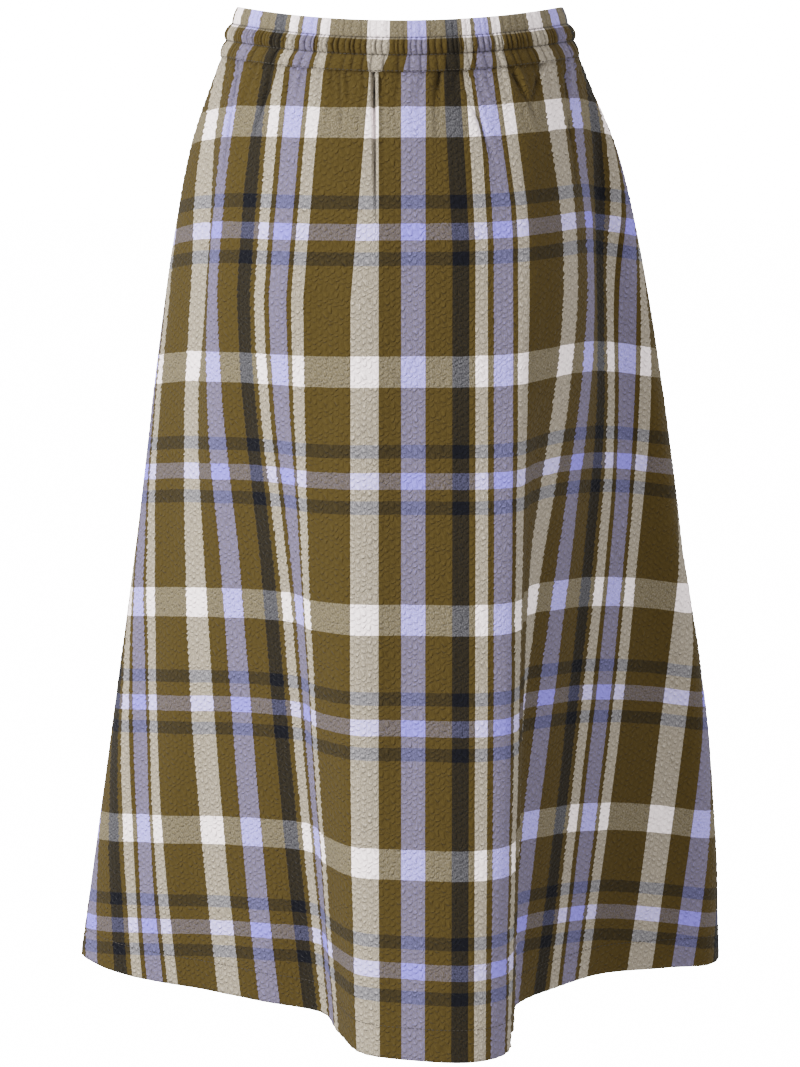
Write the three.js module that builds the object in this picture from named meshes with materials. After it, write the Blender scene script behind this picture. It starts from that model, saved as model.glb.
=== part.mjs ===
// A filled-out, pull-on seersucker skirt: two flared panels gathered into an elastic waistband.
// Millimetres, +Z up, the front of the skirt faces -Y and the wearer's left side lies towards +X.
// The origin is the middle of the waist, at the mean height of the waistband.

import * as THREE from 'three';

// ---- driving sizes ----

const seamGap = 0.3; // space left between two pieces that are sewn together
const panelWall = 1.6; // thickness of a panel's cloth, puckers included
const bandWall = 2.6; // thickness of the waistband between its puffs
const bandPuff = 2.0; // how far each elastic channel swells past the waistband seam
const bandChannels = 3;

const hemHeight = -757; // the front of the hem, its lowest place
const waistDip = 11; // how much lower the waist lies at the front and back than at the side seams
const dipFade = 2; // the dip dies out down the panels with this power

// Half sizes of the plain oval rings of the waistband. `height` is measured at the side seams.
const waistRings = {
  top: { height: 24, side: 125.5, fore: 95, aft: 91 },
  seam: { height: -14, side: 138.5, fore: 99, aft: 97 },
};

// Heights at which the fold table places the panels' folds.
const stations = { yoke: -86, hip: -203, mid: -410, hem: hemHeight };
const yokeRound = 0.54; // share of the way from waist to hip that the cloth has spread at the yoke

// Every fold line that runs down the skirt, in order round the ring from the left seam by way of the front.
// `bearing` is where it leaves the waistband, in degrees from the front. At the hip, mid and hem stations
// [side, fore] says how far it lies to the side and in front of the waist's middle. `bow` is how far it swings
// to the side halfway between mid and hem, and `up` lifts the hem there.
const folds = [
  { name: 'left seam', bearing: -95, hip: [-187, -18], mid: [-214, -6], hem: [-266, -12], bow: 0, up: 9 },
  { name: 'left side', bearing: -84, hip: [-180, 6], mid: [-206, 18], hem: [-252, 18], bow: 0, up: 9 },
  { name: 'left crease', bearing: -73, hip: [-155, 41], mid: [-181, 42], hem: [-217, 43], bow: -2, up: 6 },
  { name: 'left panel', bearing: -60, hip: [-144, 74], mid: [-146, 73], hem: [-165, 64], bow: -1, up: 5 },
  { name: 'left inner panel', bearing: -47, hip: [-118, 96], mid: [-107, 97], hem: [-110, 90], bow: 0, up: 3.5 },
  { name: 'left valley', bearing: -36, hip: [-92, 115], mid: [-80, 118], hem: [-62, 110], bow: 0, up: 2 },
  { name: 'left flank', bearing: -27, hip: [-70, 123], mid: [-68, 142], hem: [-48, 148], bow: 0, up: 1 },
  { name: 'front left', bearing: -14, hip: [-34, 129], mid: [-35, 157], hem: [-24, 188], bow: 0, up: 0 },
  { name: 'front middle', bearing: 3, hip: [8, 130], mid: [8, 162], hem: [14, 203], bow: 0, up: 0 },
  { name: 'front right', bearing: 20, hip: [50, 128], mid: [52, 163], hem: [56, 205], bow: 0, up: 0 },
  { name: 'ridge', bearing: 36, hip: [88, 121], mid: [84, 157], hem: [80, 190], bow: 0, up: 0 },
  { name: 'ridge flank', bearing: 43, hip: [102, 113], mid: [97, 130], hem: [88, 150], bow: 0, up: 1 },
  { name: 'right valley', bearing: 51, hip: [121, 95], mid: [100, 104], hem: [91, 95], bow: -1, up: 1 },
  { name: 'right panel', bearing: 60, hip: [140, 66], mid: [124, 78], hem: [122, 60], bow: -1, up: 2 },
  { name: 'right hollow', bearing: 70, hip: [155, 28], mid: [153, 42], hem: [165, 28], bow: -1, up: 3 },
  { name: 'right side front', bearing: 80, hip: [167, 3], mid: [190, 15], hem: [221, 16], bow: 3, up: 4 },
  { name: 'right side', bearing: 89, hip: [191, -6], mid: [224, 4], hem: [256, 9], bow: 7, up: 4 },
  { name: 'right seam', bearing: 97, hip: [199, -24], mid: [229, -18], hem: [267, -16], bow: 7, up: 4 },
  { name: 'right back quarter', bearing: 116, hip: [176, -78], mid: [206, -84], hem: [238, -92], bow: 0, up: 4 },
  { name: 'back right ridge', bearing: 135, hip: [128, -110], mid: [142, -128], hem: [160, -156], bow: 0, up: 2 },
  { name: 'back right valley', bearing: 152, hip: [78, -126], mid: [84, -132], hem: [92, -122], bow: 0, up: 4 },
  { name: 'back right crest', bearing: 168, hip: [32, -136], mid: [34, -152], hem: [34, -182], bow: 0, up: 0 },
  { name: 'back middle', bearing: 183, hip: [-8, -137], mid: [-10, -148], hem: [-16, -164], bow: 0, up: 2 },
  { name: 'back left crest', bearing: 197, hip: [-44, -134], mid: [-52, -150], hem: [-62, -178], bow: 0, up: 0 },
  { name: 'back left valley', bearing: 214, hip: [-90, -122], mid: [-100, -122], hem: [-112, -116], bow: 0, up: 4 },
  { name: 'back left ridge', bearing: 232, hip: [-134, -102], mid: [-152, -112], hem: [-172, -132], bow: 0, up: 3 },
  { name: 'left back quarter', bearing: 250, hip: [-170, -62], mid: [-198, -66], hem: [-238, -70], bow: 0, up: 6 },
];
const frontSpan = folds.findIndex((fold) => fold.name === 'right seam'); // folds from seam to seam

// How finely the faceted walls are cut.
const cuts = {
  ring: 12, // steps along a ring between two fold lines
  front: { columns: 54, rows: 14 },
  back: { columns: 48, rows: 14 },
  band: { columns: 40, rowsInChannel: 3 },
  rowCrowding: 1.3, // rows lie closer together near the waist
};

const finishes = {
  front_panel: new THREE.MeshStandardMaterial({ color: 0x68552a, roughness: 0.92, metalness: 0 }),
  back_panel: new THREE.MeshStandardMaterial({ color: 0x8d8472, roughness: 0.92, metalness: 0 }),
  waistband: new THREE.MeshStandardMaterial({ color: 0x958fa3, roughness: 0.92, metalness: 0 }),
};

// ---- rings: the plan of the cloth at one height ----

const degrees = Math.PI / 180;

// The point of a plain oval ring on a bearing, as [side, fore].
function ovalPoint(ring, bearing) {
  const depth = Math.cos(bearing * degrees) >= 0 ? ring.fore : ring.aft;
  return [ring.side * Math.sin(bearing * degrees), depth * Math.cos(bearing * degrees)];
}

function mix(from, to, share) {
  return from.map((value, axis) => value + (to[axis] - value) * share);
}

// A smooth curve through [height, value] knots, with the knots in order down the skirt.
function throughKnots(knots, height) {
  const slopes = knots.map((knot, index) => {
    const before = knots[Math.max(index - 1, 0)];
    const after = knots[Math.min(index + 1, knots.length - 1)];
    return (after[1] - before[1]) / (after[0] - before[0]);
  });
  let upper = 0;
  while (upper < knots.length - 2 && height < knots[upper + 1][0]) upper += 1;
  const span = knots[upper + 1][0] - knots[upper][0];
  const share = THREE.MathUtils.clamp((height - knots[upper][0]) / span, 0, 1);
  const square = share * share;
  const cube = square * share;
  return (2 * cube - 3 * square + 1) * knots[upper][1] + (cube - 2 * square + share) * span * slopes[upper]
    + (3 * square - 2 * cube) * knots[upper + 1][1] + (cube - square) * span * slopes[upper + 1];
}

// Where one fold line lies at a height of the panels, as [side, fore].
function foldPoint(fold, height) {
  const waist = ovalPoint(waistRings.seam, fold.bearing);
  const yoke = mix(waist, fold.hip, yokeRound);
  const [side, fore] = [0, 1].map((axis) => throughKnots([
    [waistRings.seam.height, waist[axis]],
    [stations.yoke, yoke[axis]],
    [stations.hip, fold.hip[axis]],
    [stations.mid, fold.mid[axis]],
    [stations.hem, fold.hem[axis]],
  ], height));
  const below = THREE.MathUtils.clamp((stations.mid - height) / (stations.mid - stations.hem), 0, 1);
  return [side + fold.bow * Math.sin(Math.PI * below), fore];
}

// A closed ring through one [side, fore] point for each fold, measured along its length.
class Ring {
  constructor(points) {
    const posts = points.map(([side, fore]) => new THREE.Vector3(side, -fore, 0));
    this.count = posts.length * cuts.ring;
    this.points = new THREE.CatmullRomCurve3(posts, true, 'centripetal').getPoints(this.count);
    this.lengths = [0];
    for (let step = 1; step <= this.count; step += 1) {
      this.lengths.push(this.lengths[step - 1] + this.points[step].distanceTo(this.points[step - 1]));
    }
  }

  // The place and outward direction at a distance along the ring.
  at(distance) {
    let step = 0;
    while (step < this.count - 1 && this.lengths[step + 1] < distance) step += 1;
    const share = (distance - this.lengths[step]) / (this.lengths[step + 1] - this.lengths[step]);
    const place = this.points[step].clone().lerp(this.points[step + 1], share);
    const along = this.along(step).lerp(this.along(step + 1), share).normalize();
    return { place, out: new THREE.Vector3(along.y, -along.x, 0) };
  }

  along(step) {
    const before = this.points[(step - 1 + this.count) % this.count];
    const after = this.points[(step + 1) % this.count];
    return after.clone().sub(before).normalize();
  }

  // Evenly spaced places on the ring over one span of folds, clear of the seams at its two ends.
  stretch(firstFold, lastFold, columns) {
    const start = this.lengths[firstFold * cuts.ring] + seamGap / 2;
    const end = this.lengths[lastFold * cuts.ring] - seamGap / 2;
    return Array.from({ length: columns + 1 }, (_, column) => {
      const distance = start + (end - start) * column / columns;
      return { ...this.at(distance), turn: this.foldsPassed(distance) };
    });
  }

  // How many folds lie before a distance, with the fraction, to read a fold column smoothly.
  foldsPassed(distance) {
    let step = 0;
    while (step < this.count - 1 && this.lengths[step + 1] < distance) step += 1;
    const share = (distance - this.lengths[step]) / (this.lengths[step + 1] - this.lengths[step]);
    return (step + share) / cuts.ring;
  }
}

function waistRing(share) {
  const ring = {};
  for (const size of ['side', 'fore', 'aft']) {
    ring[size] = THREE.MathUtils.lerp(waistRings.top[size], waistRings.seam[size], share);
  }
  return new Ring(folds.map((fold) => ovalPoint(ring, fold.bearing)));
}

function panelRing(height) {
  return new Ring(folds.map((fold) => foldPoint(fold, height)));
}

// The waist dips at the front and back, and follows the side seams' height at the sides.
function dipAt(place) {
  const turn = Math.atan2(place.x / waistRings.seam.side, -place.y / waistRings.seam.fore);
  return waistDip * Math.cos(turn) ** 2;
}

function hemLift(turn) {
  const before = Math.floor(turn) % folds.length;
  const after = (before + 1) % folds.length;
  return THREE.MathUtils.lerp(folds[before].up, folds[after].up, turn - Math.floor(turn));
}

// ---- walls: closed solids between an outer and an inner grid of points ----

function wallGeometry(outer, inner) {
  const rows = outer.length;
  const columns = outer[0].length;
  const positions = [...outer.flat(), ...inner.flat()].flatMap((point) => point.toArray());
  const out = (row, column) => row * columns + column;
  const back = (row, column) => rows * columns + out(row, column);
  const triangles = [];
  const quad = (a, b, c, d) => triangles.push(a, b, c, a, c, d);
  for (let row = 0; row < rows - 1; row += 1) {
    for (let column = 0; column < columns - 1; column += 1) {
      quad(out(row, column), out(row + 1, column), out(row + 1, column + 1), out(row, column + 1));
      quad(back(row, column), back(row, column + 1), back(row + 1, column + 1), back(row + 1, column));
    }
    quad(out(row, 0), back(row, 0), back(row + 1, 0), out(row + 1, 0));
    const last = columns - 1;
    quad(out(row, last), out(row + 1, last), back(row + 1, last), back(row, last));
  }
  for (let column = 0; column < columns - 1; column += 1) {
    quad(out(0, column), out(0, column + 1), back(0, column + 1), back(0, column));
    const last = rows - 1;
    quad(out(last, column), back(last, column), back(last, column + 1), out(last, column + 1));
  }
  const geometry = new THREE.BufferGeometry();
  geometry.setAttribute('position', new THREE.Float32BufferAttribute(positions, 3));
  geometry.setIndex(triangles);
  geometry.computeVertexNormals();
  return geometry;
}

// ---- the pieces ----

// One flared panel hanging from the waistband seam, between two folds of the table.
function panelGeometry(firstFold, lastFold, { columns, rows }) {
  const seamHeight = waistRings.seam.height - seamGap / 2;
  const grid = Array.from({ length: rows + 1 }, (_, row) => {
    const share = (row / rows) ** cuts.rowCrowding;
    const height = THREE.MathUtils.lerp(seamHeight, hemHeight, share);
    const ring = panelRing(height);
    return ring.stretch(firstFold, lastFold, columns).map(({ place, out, turn }) => {
      const dip = dipAt(place) * (1 - share) ** dipFade;
      place.z = height - dip + hemLift(turn) * share;
      return { place, out };
    });
  });
  const outer = grid.map((line) => line.map(({ place }) => place));
  const inner = grid.map((line, row) => line.map(({ place, out }, column) => {
    const above = outer[Math.max(row - 1, 0)][column];
    const below = outer[Math.min(row + 1, rows)][column];
    const down = below.clone().sub(above).normalize();
    const face = out.clone().addScaledVector(down, -out.dot(down)).normalize();
    return place.clone().addScaledVector(face, -panelWall);
  }));
  return wallGeometry(outer, inner);
}

// Half of the waistband: a strip sewn through into channels, each swollen by its elastic.
function bandGeometry(firstFold, lastFold, { columns, rowsInChannel }) {
  const rows = bandChannels * rowsInChannel;
  const bottom = waistRings.seam.height + seamGap / 2;
  const outer = [];
  const inner = [];
  for (let row = 0; row <= rows; row += 1) {
    const share = row / rows;
    const height = THREE.MathUtils.lerp(waistRings.top.height, bottom, share);
    const puff = bandPuff * Math.sin(Math.PI * (row % rowsInChannel) / rowsInChannel);
    const places = waistRing(share).stretch(firstFold, lastFold, columns);
    const move = (distance) => places.map(({ place, out }) => {
      const point = place.clone().addScaledVector(out, distance);
      point.z = height - dipAt(place);
      return point;
    });
    outer.push(move(puff));
    inner.push(move(-bandWall));
  }
  return wallGeometry(outer, inner);
}

function piece(name, geometry, finish) {
  const mesh = new THREE.Mesh(geometry, finish);
  mesh.name = name;
  return mesh;
}

const skirt = new THREE.Group();
skirt.name = 'seersucker_skirt';
const roundSpan = folds.length;
skirt.add(
  piece('front_panel', panelGeometry(0, frontSpan, cuts.front), finishes.front_panel),
  piece('back_panel', panelGeometry(frontSpan, roundSpan, cuts.back), finishes.back_panel),
  piece('waistband_front', bandGeometry(0, frontSpan, cuts.band), finishes.waistband),
  piece('waistband_back', bandGeometry(frontSpan, roundSpan, cuts.band), finishes.waistband),
);

export default skirt;
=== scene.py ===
"""A pull-on seersucker skirt, filled out and hollow: two flared panels gathered into an elastic waistband.

Sizes are in millimetres until a mesh is made, and then in metres. The skirt's front faces -Y and +Z is up.
The origin is the middle of the waist, at the waistband's mean height.
"""

import math

import bpy
import numpy as np
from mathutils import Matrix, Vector


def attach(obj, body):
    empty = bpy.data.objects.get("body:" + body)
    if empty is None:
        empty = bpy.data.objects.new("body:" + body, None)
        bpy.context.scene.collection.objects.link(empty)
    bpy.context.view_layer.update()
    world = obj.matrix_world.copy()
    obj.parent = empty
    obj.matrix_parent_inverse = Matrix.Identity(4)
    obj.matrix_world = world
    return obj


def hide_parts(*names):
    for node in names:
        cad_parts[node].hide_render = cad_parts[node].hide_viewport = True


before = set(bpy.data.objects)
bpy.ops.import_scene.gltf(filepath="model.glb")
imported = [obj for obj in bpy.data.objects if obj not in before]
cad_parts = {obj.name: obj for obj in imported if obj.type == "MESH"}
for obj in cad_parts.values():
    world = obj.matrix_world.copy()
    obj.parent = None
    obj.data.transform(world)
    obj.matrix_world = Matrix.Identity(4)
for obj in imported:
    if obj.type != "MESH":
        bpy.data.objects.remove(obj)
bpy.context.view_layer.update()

MM = 0.001

# ---------------------------------------------------------------------------------------------------------
# The form: the plain shape of the panels and the waistband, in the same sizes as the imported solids
# ---------------------------------------------------------------------------------------------------------

SEAM_GAP = 0.3  # between two pieces that are sewn together
WAIST_DIP = 11.0  # how much lower the waist lies at the front and back than at the side seams
DIP_FADE = 2.0  # the dip dies out down the panels with this power
HEM_HEIGHT = -757.0  # the front of the hem, its lowest place

# Half sizes of the waistband's plain oval rings; the height is measured at the side seams.
WAIST_TOP = {"height": 24.0, "side": 125.5, "fore": 95.0, "aft": 91.0}
WAIST_SEAM = {"height": -14.0, "side": 138.5, "fore": 99.0, "aft": 97.0}

YOKE, HIP, MID = -86.0, -203.0, -410.0  # heights at which the fold table places the folds
YOKE_ROUND = 0.54  # share of the way from waist to hip that the cloth has spread at the yoke

# Every fold line that runs down the skirt, in order round the ring from the left seam by way of the front:
# its bearing at the waistband in degrees from the front, how far it lies to the side and in front of the
# waist's middle at the hip, mid and hem heights, how far it bows to the side halfway between mid and hem,
# and how far it lifts the hem.
FOLD_COLUMNS = (
    "bearing", "hip_side", "hip_fore", "mid_side", "mid_fore", "hem_side", "hem_fore", "bow", "up"
)
FOLDS = {
    "left seam": (-95, -187, -18, -214, -6, -266, -12, 0, 9),
    "left side": (-84, -180, 6, -206, 18, -252, 18, 0, 9),
    "left crease": (-73, -155, 41, -181, 42, -217, 43, -2, 6),
    "left panel": (-60, -144, 74, -146, 73, -165, 64, -1, 5),
    "left inner panel": (-47, -118, 96, -107, 97, -110, 90, 0, 3.5),
    "left valley": (-36, -92, 115, -80, 118, -62, 110, 0, 2),
    "left flank": (-27, -70, 123, -68, 142, -48, 148, 0, 1),
    "front left": (-14, -34, 129, -35, 157, -24, 188, 0, 0),
    "front middle": (3, 8, 130, 8, 162, 14, 203, 0, 0),
    "front right": (20, 50, 128, 52, 163, 56, 205, 0, 0),
    "ridge": (36, 88, 121, 84, 157, 80, 190, 0, 0),
    "ridge flank": (43, 102, 113, 97, 130, 88, 150, 0, 1),
    "right valley": (51, 121, 95, 100, 104, 91, 95, -1, 1),
    "right panel": (60, 140, 66, 124, 78, 122, 60, -1, 2),
    "right hollow": (70, 155, 28, 153, 42, 165, 28, -1, 3),
    "right side front": (80, 167, 3, 190, 15, 221, 16, 3, 4),
    "right side": (89, 191, -6, 224, 4, 256, 9, 7, 4),
    "right seam": (97, 199, -24, 229, -18, 267, -16, 7, 4),
    "right back quarter": (116, 176, -78, 206, -84, 238, -92, 0, 4),
    "back right ridge": (135, 128, -110, 142, -128, 160, -156, 0, 2),
    "back right valley": (152, 78, -126, 84, -132, 92, -122, 0, 4),
    "back right crest": (168, 32, -136, 34, -152, 34, -182, 0, 0),
    "back middle": (183, -8, -137, -10, -148, -16, -164, 0, 2),
    "back left crest": (197, -44, -134, -52, -150, -62, -178, 0, 0),
    "back left valley": (214, -90, -122, -100, -122, -112, -116, 0, 4),
    "back left ridge": (232, -134, -102, -152, -112, -172, -132, 0, 3),
    "left back quarter": (250, -170, -62, -198, -66, -238, -70, 0, 6),
}
FOLD = {column: np.array([row[i] for row in FOLDS.values()], float) for i, column in enumerate(FOLD_COLUMNS)}
FRONT = (0, list(FOLDS).index("right seam"))  # folds at the two ends of a piece
BACK = (FRONT[1], len(FOLDS))
RING_STEPS = 24  # steps along a ring between two folds


def oval_points(ring):
    """One [side, fore] point for each fold on a plain oval ring."""
    turn = np.radians(FOLD["bearing"])
    depth = np.where(np.cos(turn) >= 0, ring["fore"], ring["aft"])
    return np.stack([ring["side"] * np.sin(turn), depth * np.cos(turn)], axis=1)


def through_knots(heights, values, height):
    """A smooth curve through knots in order down the skirt; each value may be an array."""
    last = len(heights) - 1
    slopes = []
    for i in range(last + 1):
        before, after = max(i - 1, 0), min(i + 1, last)
        slopes.append((values[after] - values[before]) / (heights[after] - heights[before]))
    upper = 0
    while upper < last - 1 and height < heights[upper + 1]:
        upper += 1
    span = heights[upper + 1] - heights[upper]
    share = min(max((height - heights[upper]) / span, 0.0), 1.0)
    square, cube = share**2, share**3
    return (
        (2 * cube - 3 * square + 1) * values[upper]
        + (cube - 2 * square + share) * span * slopes[upper]
        + (3 * square - 2 * cube) * values[upper + 1]
        + (cube - square) * span * slopes[upper + 1]
    )


def fold_points(height):
    """Where every fold line lies at a height of the panels."""
    waist = oval_points(WAIST_SEAM)
    stations = ("hip", "mid", "hem")
    hip, mid, hem = (np.stack([FOLD[f"{name}_side"], FOLD[f"{name}_fore"]], axis=1) for name in stations)
    yoke = waist + (hip - waist) * YOKE_ROUND
    knots = (WAIST_SEAM["height"], YOKE, HIP, MID, HEM_HEIGHT)
    plain = through_knots(knots, (waist, yoke, hip, mid, hem), height)
    below = min(max((MID - height) / (MID - HEM_HEIGHT), 0.0), 1.0)
    plain[:, 0] += FOLD["bow"] * math.sin(math.pi * below)
    return plain


def closed_ring(posts):
    """A closed smooth curve through the posts, as points and their distances along it."""
    before, after, far = (np.roll(posts, shift, axis=0) for shift in (1, -1, -2))

    def knot(start, end):
        return np.sqrt(np.linalg.norm(end - start, axis=1))[:, None]

    first, middle, final = knot(before, posts), knot(posts, after), knot(after, far)
    leave = (posts - before) / first - (after - before) / (first + middle) + (after - posts) / middle
    arrive = (after - posts) / middle - (far - posts) / (middle + final) + (far - after) / final
    leave, arrive = leave * middle, arrive * middle
    share = (np.arange(RING_STEPS) / RING_STEPS)[None, :, None]
    start, end, leave, arrive = (part[:, None, :] for part in (posts, after, leave, arrive))
    curve = (
        start
        + leave * share
        + (-3 * start + 3 * end - 2 * leave - arrive) * share**2
        + (2 * start - 2 * end + leave + arrive) * share**3
    ).reshape(-1, 2)
    points = np.vstack([curve, curve[:1]])
    steps = np.linalg.norm(np.diff(points, axis=0), axis=1)
    return points, np.concatenate([[0.0], np.cumsum(steps)])


def stretch(posts, piece, shares):
    """Places on a ring over one piece, at shares of its width: side, fore, hem lift and distance along."""
    points, lengths = closed_ring(posts)
    start = lengths[piece[0] * RING_STEPS] + SEAM_GAP / 2
    end = lengths[piece[1] * RING_STEPS] - SEAM_GAP / 2
    distance = start + (end - start) * shares
    passed = np.interp(distance, lengths, np.arange(len(lengths)) / RING_STEPS)
    lift = np.interp(passed, np.arange(len(FOLDS) + 1), np.append(FOLD["up"], FOLD["up"][0]))
    side, fore = (np.interp(distance, lengths, points[:, axis]) for axis in (0, 1))
    return side, fore, lift, distance - start


def dip_at(side, fore):
    """How much lower the waist lies at a place than at the side seams."""
    turn = np.arctan2(side / WAIST_SEAM["side"], fore / WAIST_SEAM["fore"])
    return WAIST_DIP * np.cos(turn) ** 2


def outward(points):
    """Unit normals of a grid of points whose rows run down and whose columns run round to the right."""
    along = np.gradient(points, axis=1)
    down = np.gradient(points, axis=0)
    normal = np.cross(down, along)
    return normal / np.linalg.norm(normal, axis=2, keepdims=True)


# ---------------------------------------------------------------------------------------------------------
# The cut: where each place of the cloth lies on the flat pattern
# ---------------------------------------------------------------------------------------------------------

CUT_WAIST_RADIUS = 1250.0  # a panel is a sector of a ring: the radius of its waist edge
CUT_HALF_ANGLE = 0.18  # radians from its middle grain line to its side seam
DRAWN_UP = (3.0, 8.0)  # how much further up the left and right of a panel are sewn into the waistband
DRAWN_BETWEEN = (30.0, 170.0)  # where this begins and is complete, from the middle grain line
GRAIN_SIDE = 9.5  # the front's middle grain line hangs this far to the right of the waist's middle
BAND_GATHER = (1.19, 1.30)  # waistband cloth for each millimetre of waist, left and right of its middle
BAND_GRAIN_SIDE = 12.0  # the waistband's middle grain line lies this far to the right

# The small tucks that the gathered waist throws into the top of the panels. `across` is their place on the
# cloth at the waistband seam and `ends_across` at their lower end, `length` how far they reach down, `hides`
# how much cloth they swallow at the seam and `reach` how far down they do so, `depth` how deep they dent the
# cloth and `width` half their width.
TUCK_COLUMNS = ("across", "ends_across", "length", "hides", "reach", "depth", "width")
FRONT_TUCKS = {
    "knife pleat": (-29.0, -27.5, 112.0, 14.0, 170.0, 6.0, 1.4),
    "left of the pleat": (-55.0, -53.0, 44.0, 1.0, 60.0, 1.6, 1.8),
    "by the dark stripe": (20.0, 16.0, 52.0, 7.0, 128.0, 3.6, 2.0),
    "curved fold": (39.0, 59.0, 66.0, 8.0, 100.0, 5.2, 2.0),
    "right slant": (76.0, 97.0, 38.0, 4.0, 130.0, 3.2, 2.2),
    "right counter slant": (106.0, 92.0, 34.0, 4.0, 120.0, 3.0, 2.4),
    "left slant": (-108.0, -128.0, 52.0, 6.0, 90.0, 4.4, 2.4),
    "left short slant": (-84.0, -92.0, 30.0, 1.0, 60.0, 1.6, 2.2),
    "left hip": (-150.0, -160.0, 90.0, 6.0, 120.0, 2.4, 4.0),
    "right hip": (134.0, 148.0, 96.0, 6.0, 120.0, 4.0, 2.8),
}
BACK_TUCKS = {
    "back pleat": (34.0, 30.0, 80.0, 9.0, 130.0, 3.6, 2.2),
    "back left slant": (-62.0, -78.0, 46.0, 5.0, 90.0, 2.4, 3.6),
    "back right slant": (96.0, 118.0, 52.0, 5.0, 100.0, 2.4, 4.0),
    "back short tuck": (-20.0, -18.0, 24.0, 3.0, 60.0, 1.8, 2.6),
    "back left hip": (-142.0, -156.0, 76.0, 5.0, 120.0, 2.2, 5.0),
    "back right hip": (150.0, 160.0, 64.0, 4.0, 120.0, 2.0, 5.0),
}

# Soft creases lower down: ridges (height above 0) and troughs, from one place on the cloth to another.
CREASE_COLUMNS = ("across", "top", "ends_across", "bottom", "height", "width")
FRONT_CREASES = {
    "soft ridge below the pleat": (-38.0, 60.0, -46.0, 1000.0, 4.5, 21.0),
    "left hip trough": (-188.0, 60.0, -196.0, 250.0, -3.0, 9.0),
    "left hip ridge": (-204.0, 50.0, -214.0, 300.0, 2.5, 11.0),
    "right hip ridge": (170.0, 90.0, 178.0, 320.0, 2.5, 12.0),
    "right hip trough": (196.0, 60.0, 205.0, 260.0, -2.5, 9.0),
    "under the right ridge": (106.0, 250.0, 108.0, 900.0, -6.0, 9.0),
    "front ripple": (-70.0, 180.0, -78.0, 520.0, -1.4, 16.0),
    "front ripple right": (66.0, 140.0, 70.0, 460.0, -1.2, 14.0),
    "left low ripple": (-225.0, 380.0, -250.0, 735.0, 2.2, 18.0),
    "left low trough": (-262.0, 420.0, -292.0, 740.0, -2.4, 14.0),
    "right low ripple": (232.0, 420.0, 252.0, 740.0, 2.0, 16.0),
}
BACK_CREASES = {
    "back hip trough": (-180.0, 70.0, -196.0, 280.0, -2.8, 10.0),
    "back hip ridge": (186.0, 60.0, 204.0, 320.0, 2.6, 12.0),
    "back ripple": (-50.0, 200.0, -58.0, 560.0, -1.6, 15.0),
    "back ripple right": (78.0, 160.0, 90.0, 500.0, 1.6, 16.0),
    "back low ripple": (-242.0, 400.0, -262.0, 740.0, 2.2, 17.0),
    "back low trough": (258.0, 430.0, 284.0, 740.0, -2.2, 15.0),
}

# The gathers below the waistband, full ones with fine ones over them: the narrowest and the widest, how high
# they stand, and how quickly they and the shade painted in their creases fade down the cloth.
FULL_GATHERS = {"narrowest": 8.0, "widest": 17.0, "height": 2.6, "reach": 36.0, "shade_reach": 24.0}
FINE_GATHERS = {"narrowest": 3.6, "widest": 8.0, "height": 1.3, "reach": 14.0, "shade_reach": 11.0}
GATHER_SHADE = 0.5
GATHER_SWAY = 1.6  # how far their creases sway to the side on the way down
SEAM_SHADE, SEAM_SHADE_REACH = 0.3, 1.4  # the shade painted along the waistband seam itself
GATHER_SEED = 7

# The lip beside a tuck and the shade painted in it, as shares of the tuck's depth and half width.
TUCK_LIP, LIP_PLACE, LIP_WIDTH = 0.35, 2.2, 1.3
TUCK_SHADE, SHADE_WIDTH = 0.36, 0.5
# the most shade that may be painted on a panel
DEEPEST_SHADE = 1.5

PANEL_COLUMNS, PANEL_ROWS = 290, 310  # steps across and down a panel's fine grid
ROW_CROWDING = 1.15  # the rows lie closer together towards the waist, with this power
PLEAT_SHARE = 0.452  # where the main pleat lies across a panel, as a share of its width
PLEAT_CROWDING, PLEAT_NEAR = 4.0, 0.035  # how much closer the columns lie there, and within which share

CLOTH_THICK = 0.9
HEM_TURN = 26.0  # the hem's turned-up depth
HEM_THICK = 0.9  # what the turned-up layer adds to the thickness
SEAM_CALM = 7.0  # within this distance of a side seam the cloth lies smooth
SWELL_ACROSS, SWELL_ALONG = 9.1, 8.0  # the larger puckers that the mesh itself has
SWELL_HEIGHT, SWELL_TURNED = 0.18, 0.45  # their height, and what turning to the side adds to it
WAVE_HEIGHT = 0.35  # the cloth's slow unevenness
# The turnings that run in behind a side seam and up behind the waistband: steps, reach and set-back.
TURNED_COLUMNS, TURNED_IN, TURNED_BEHIND = 5, 2.0, 0.8
# painted shade on the turnings, deeper the further they run in
TURNED_SHADE = 0.5
TUCKED_ROWS, TUCKED_UNDER, TUCKED_BEHIND = 5, 4.5, 0.6


def read(table, columns):
    """A table's rows with their columns named."""
    return [dict(zip(columns, row)) for row in table.values()]


class Gathers:
    """A row of gathers round the waist: round crests of uneven width between narrow creases."""

    def __init__(self, seed, length, narrowest, widest):
        draw = np.random.default_rng(seed)
        widths = draw.uniform(narrowest, widest, int(2 * length / (narrowest + widest)) + 2)
        self.edges = np.concatenate([[0.0], np.cumsum(widths)]) * length / widths.sum()
        self.heights = draw.uniform(0.4, 1.0, len(widths))

    def at(self, distance):
        """How high the gathers stand and how deep in a crease a place lies, both from 0 to 1."""
        crest = np.clip(np.searchsorted(self.edges, distance) - 1, 0, len(self.heights) - 1)
        width = self.edges[crest + 1] - self.edges[crest]
        share = np.clip((distance - self.edges[crest]) / width, 0.0, 1.0)
        arch = np.sin(np.pi * share)
        return self.heights[crest] * arch**0.6, self.heights[crest] * (1 - arch) ** 3


def bell(offset):
    """A smooth hump: 1 at an offset of 0, and almost nothing at 2 to either side."""
    return np.exp(-(offset**2))


def smooth_step(value, low, high):
    """A smooth rise from 0 at low to 1 at high."""
    share = np.clip((value - low) / (high - low), 0.0, 1.0)
    return share * share * (3 - 2 * share)


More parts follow.
